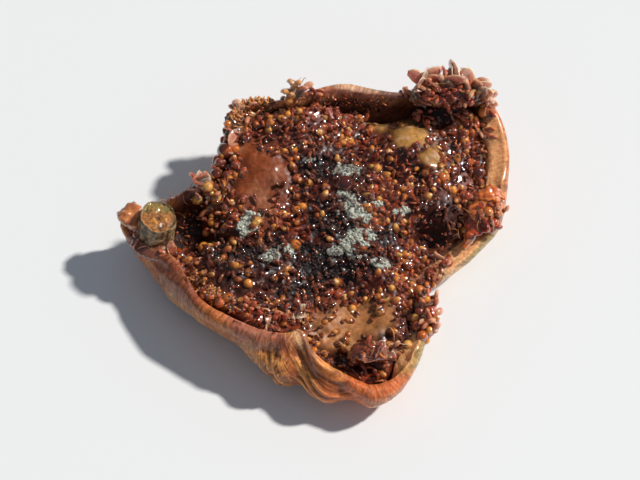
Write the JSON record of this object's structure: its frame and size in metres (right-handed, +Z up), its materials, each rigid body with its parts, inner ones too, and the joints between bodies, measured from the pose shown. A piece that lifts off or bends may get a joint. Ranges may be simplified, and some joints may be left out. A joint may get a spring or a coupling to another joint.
{
  "type": "fresh fig",
  "caption": "Ripe fig torn open and lying on its skin, an irregular bowl of rind lined with seedy pulp, with a short cut stalk at one end.",
  "frame": {"origin": "bottom centre of the bounding box, on the surface that the fig lies on", "axes": "+Z up, out of the opened flesh; +X from the stalk end to the torn far end, the longest extent"},
  "size_m": [0.0576, 0.0504, 0.0159],
  "materials": {
    "rind": "moist, ribbed, half translucent fruit skin and fleshy wall",
    "pulp": "wet and juicy",
    "stalk": "rough bark and a cut face"
  },
  "bodies": {
    "root": {"rind": "rind", "pulp": "pulp", "stalk": "stalk"}
  },
  "joints": []
}
